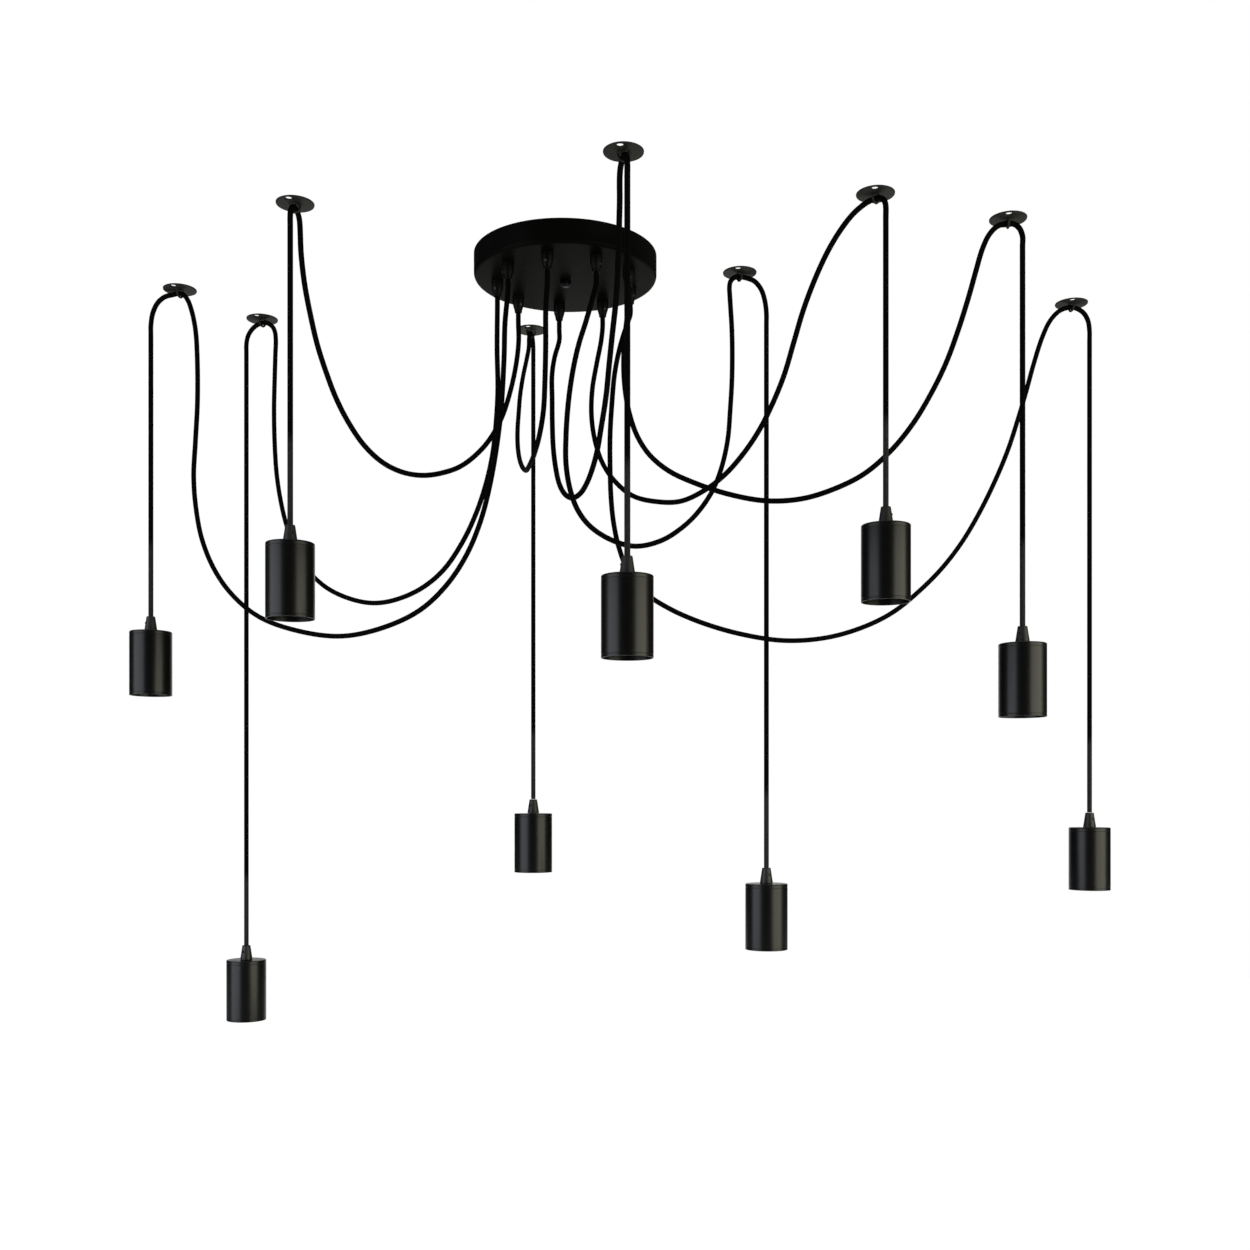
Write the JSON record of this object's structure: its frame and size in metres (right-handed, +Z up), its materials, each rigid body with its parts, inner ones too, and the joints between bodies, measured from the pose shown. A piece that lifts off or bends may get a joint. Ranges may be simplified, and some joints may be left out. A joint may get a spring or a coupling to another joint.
{
  "type": "pendant light",
  "caption": "Swagged pendant light: a round black canopy with a ring of textile cords, each looped over its own ceiling hook to a black lampholder cup",
  "frame": {"origin": "middle of the ceiling bracket's top face, in the ceiling plane, at the mount ceiling", "axes": "+Z up out of the ceiling plane, so that the light hangs along -Z; +X to the right in the picture and along the longest spread of hooks; -Y towards the viewer"},
  "size_m": [1.165, 0.5394, 0.87],
  "materials": {
    "black_steel": "black powder coat, slightly warm, low sheen",
    "satin_black": "satin black, with soft upright reflections",
    "black_plastic": "moulded black, fine sheen",
    "black_textile": "braided black textile over flex",
    "zinc_steel": "bright zinc plate",
    "pale_plastic": "moulded, off-white"
  },
  "bodies": {
    "canopy_set": {"canopy": "black_steel", "ceiling_bracket": "zinc_steel", "centre_stud": "zinc_steel", "fixing_nut": "satin_black", "terminal_block": "pale_plastic", "outlet_grip_a": "black_plastic", "swag_a": "black_textile", "hook_a": "black_steel", "outlet_grip_b": "black_plastic", "swag_b": "black_textile", "hook_b": "black_steel", "outlet_grip_c": "black_plastic", "swag_c": "black_textile", "hook_c": "black_steel", "outlet_grip_d": "black_plastic", "swag_d": "black_textile", "hook_d": "black_steel", "outlet_grip_e": "black_plastic", "swag_e": "black_textile", "hook_e": "black_steel", "outlet_grip_f": "black_plastic", "swag_f": "black_textile", "hook_f": "black_steel", "outlet_grip_g": "black_plastic", "swag_g": "black_textile", "hook_g": "black_steel", "outlet_grip_h": "black_plastic", "swag_h": "black_textile", "hook_h": "black_steel", "outlet_grip_i": "black_plastic", "swag_i": "black_textile", "hook_i": "black_steel"},
    "pendant_a": {"drop_a": "black_textile", "lampholder_a": "black_plastic", "cup_a": "satin_black"},
    "pendant_b": {"drop_b": "black_textile", "lampholder_b": "black_plastic", "cup_b": "satin_black"},
    "pendant_c": {"drop_c": "black_textile", "lampholder_c": "black_plastic", "cup_c": "satin_black"},
    "pendant_d": {"drop_d": "black_textile", "lampholder_d": "black_plastic", "cup_d": "satin_black"},
    "pendant_e": {"drop_e": "black_textile", "lampholder_e": "black_plastic", "cup_e": "satin_black"},
    "pendant_f": {"drop_f": "black_textile", "lampholder_f": "black_plastic", "cup_f": "satin_black"},
    "pendant_g": {"drop_g": "black_textile", "lampholder_g": "black_plastic", "cup_g": "satin_black"},
    "pendant_h": {"drop_h": "black_textile", "lampholder_h": "black_plastic", "cup_h": "satin_black"},
    "pendant_i": {"drop_i": "black_textile", "lampholder_i": "black_plastic", "cup_i": "satin_black"}
  },
  "joints": [
    {"name": "swing_a", "type": "hinge", "parent": "canopy_set", "child": "pendant_a", "pos_m": [-0.4925, 0.105, -0.0511], "axis": [0.9439, -0.3303, 0], "range_deg": [-12, 12]},
    {"name": "swing_b", "type": "hinge", "parent": "canopy_set", "child": "pendant_b", "pos_m": [-0.407, 0.2, -0.0411], "axis": [0.8575, -0.5144, 0], "range_deg": [-12, 12]},
    {"name": "swing_c", "type": "hinge", "parent": "canopy_set", "child": "pendant_c", "pos_m": [-0.2657, -0.1459, -0.0311], "axis": [0.7509, 0.6605, 0], "range_deg": [-12, 12]},
    {"name": "swing_d", "type": "hinge", "parent": "canopy_set", "child": "pendant_d", "pos_m": [-0.0517, 0.2389, -0.0311], "axis": [0.1256, -0.9921, 0], "range_deg": [-12, 12]},
    {"name": "swing_e", "type": "hinge", "parent": "canopy_set", "child": "pendant_e", "pos_m": [0.0675, -0.2525, -0.0311], "axis": [-0.2305, 0.9731, 0], "range_deg": [-12, 12]},
    {"name": "swing_f", "type": "hinge", "parent": "canopy_set", "child": "pendant_f", "pos_m": [0.2265, 0.055, -0.0551], "axis": [-0.1736, 0.9848, 0], "range_deg": [-12, 12]},
    {"name": "swing_g", "type": "hinge", "parent": "canopy_set", "child": "pendant_g", "pos_m": [0.3197, -0.1646, -0.0311], "axis": [-0.7799, 0.6259, 0], "range_deg": [-12, 12]},
    {"name": "swing_h", "type": "hinge", "parent": "canopy_set", "child": "pendant_h", "pos_m": [0.4722, -0.1, -0.0321], "axis": [-0.9842, 0.1771, 0], "range_deg": [-12, 12]},
    {"name": "swing_i", "type": "hinge", "parent": "canopy_set", "child": "pendant_i", "pos_m": [0.6245, 0.141, -0.0451], "axis": [-0.9781, -0.2083, 0], "range_deg": [-12, 12]}
  ]
}
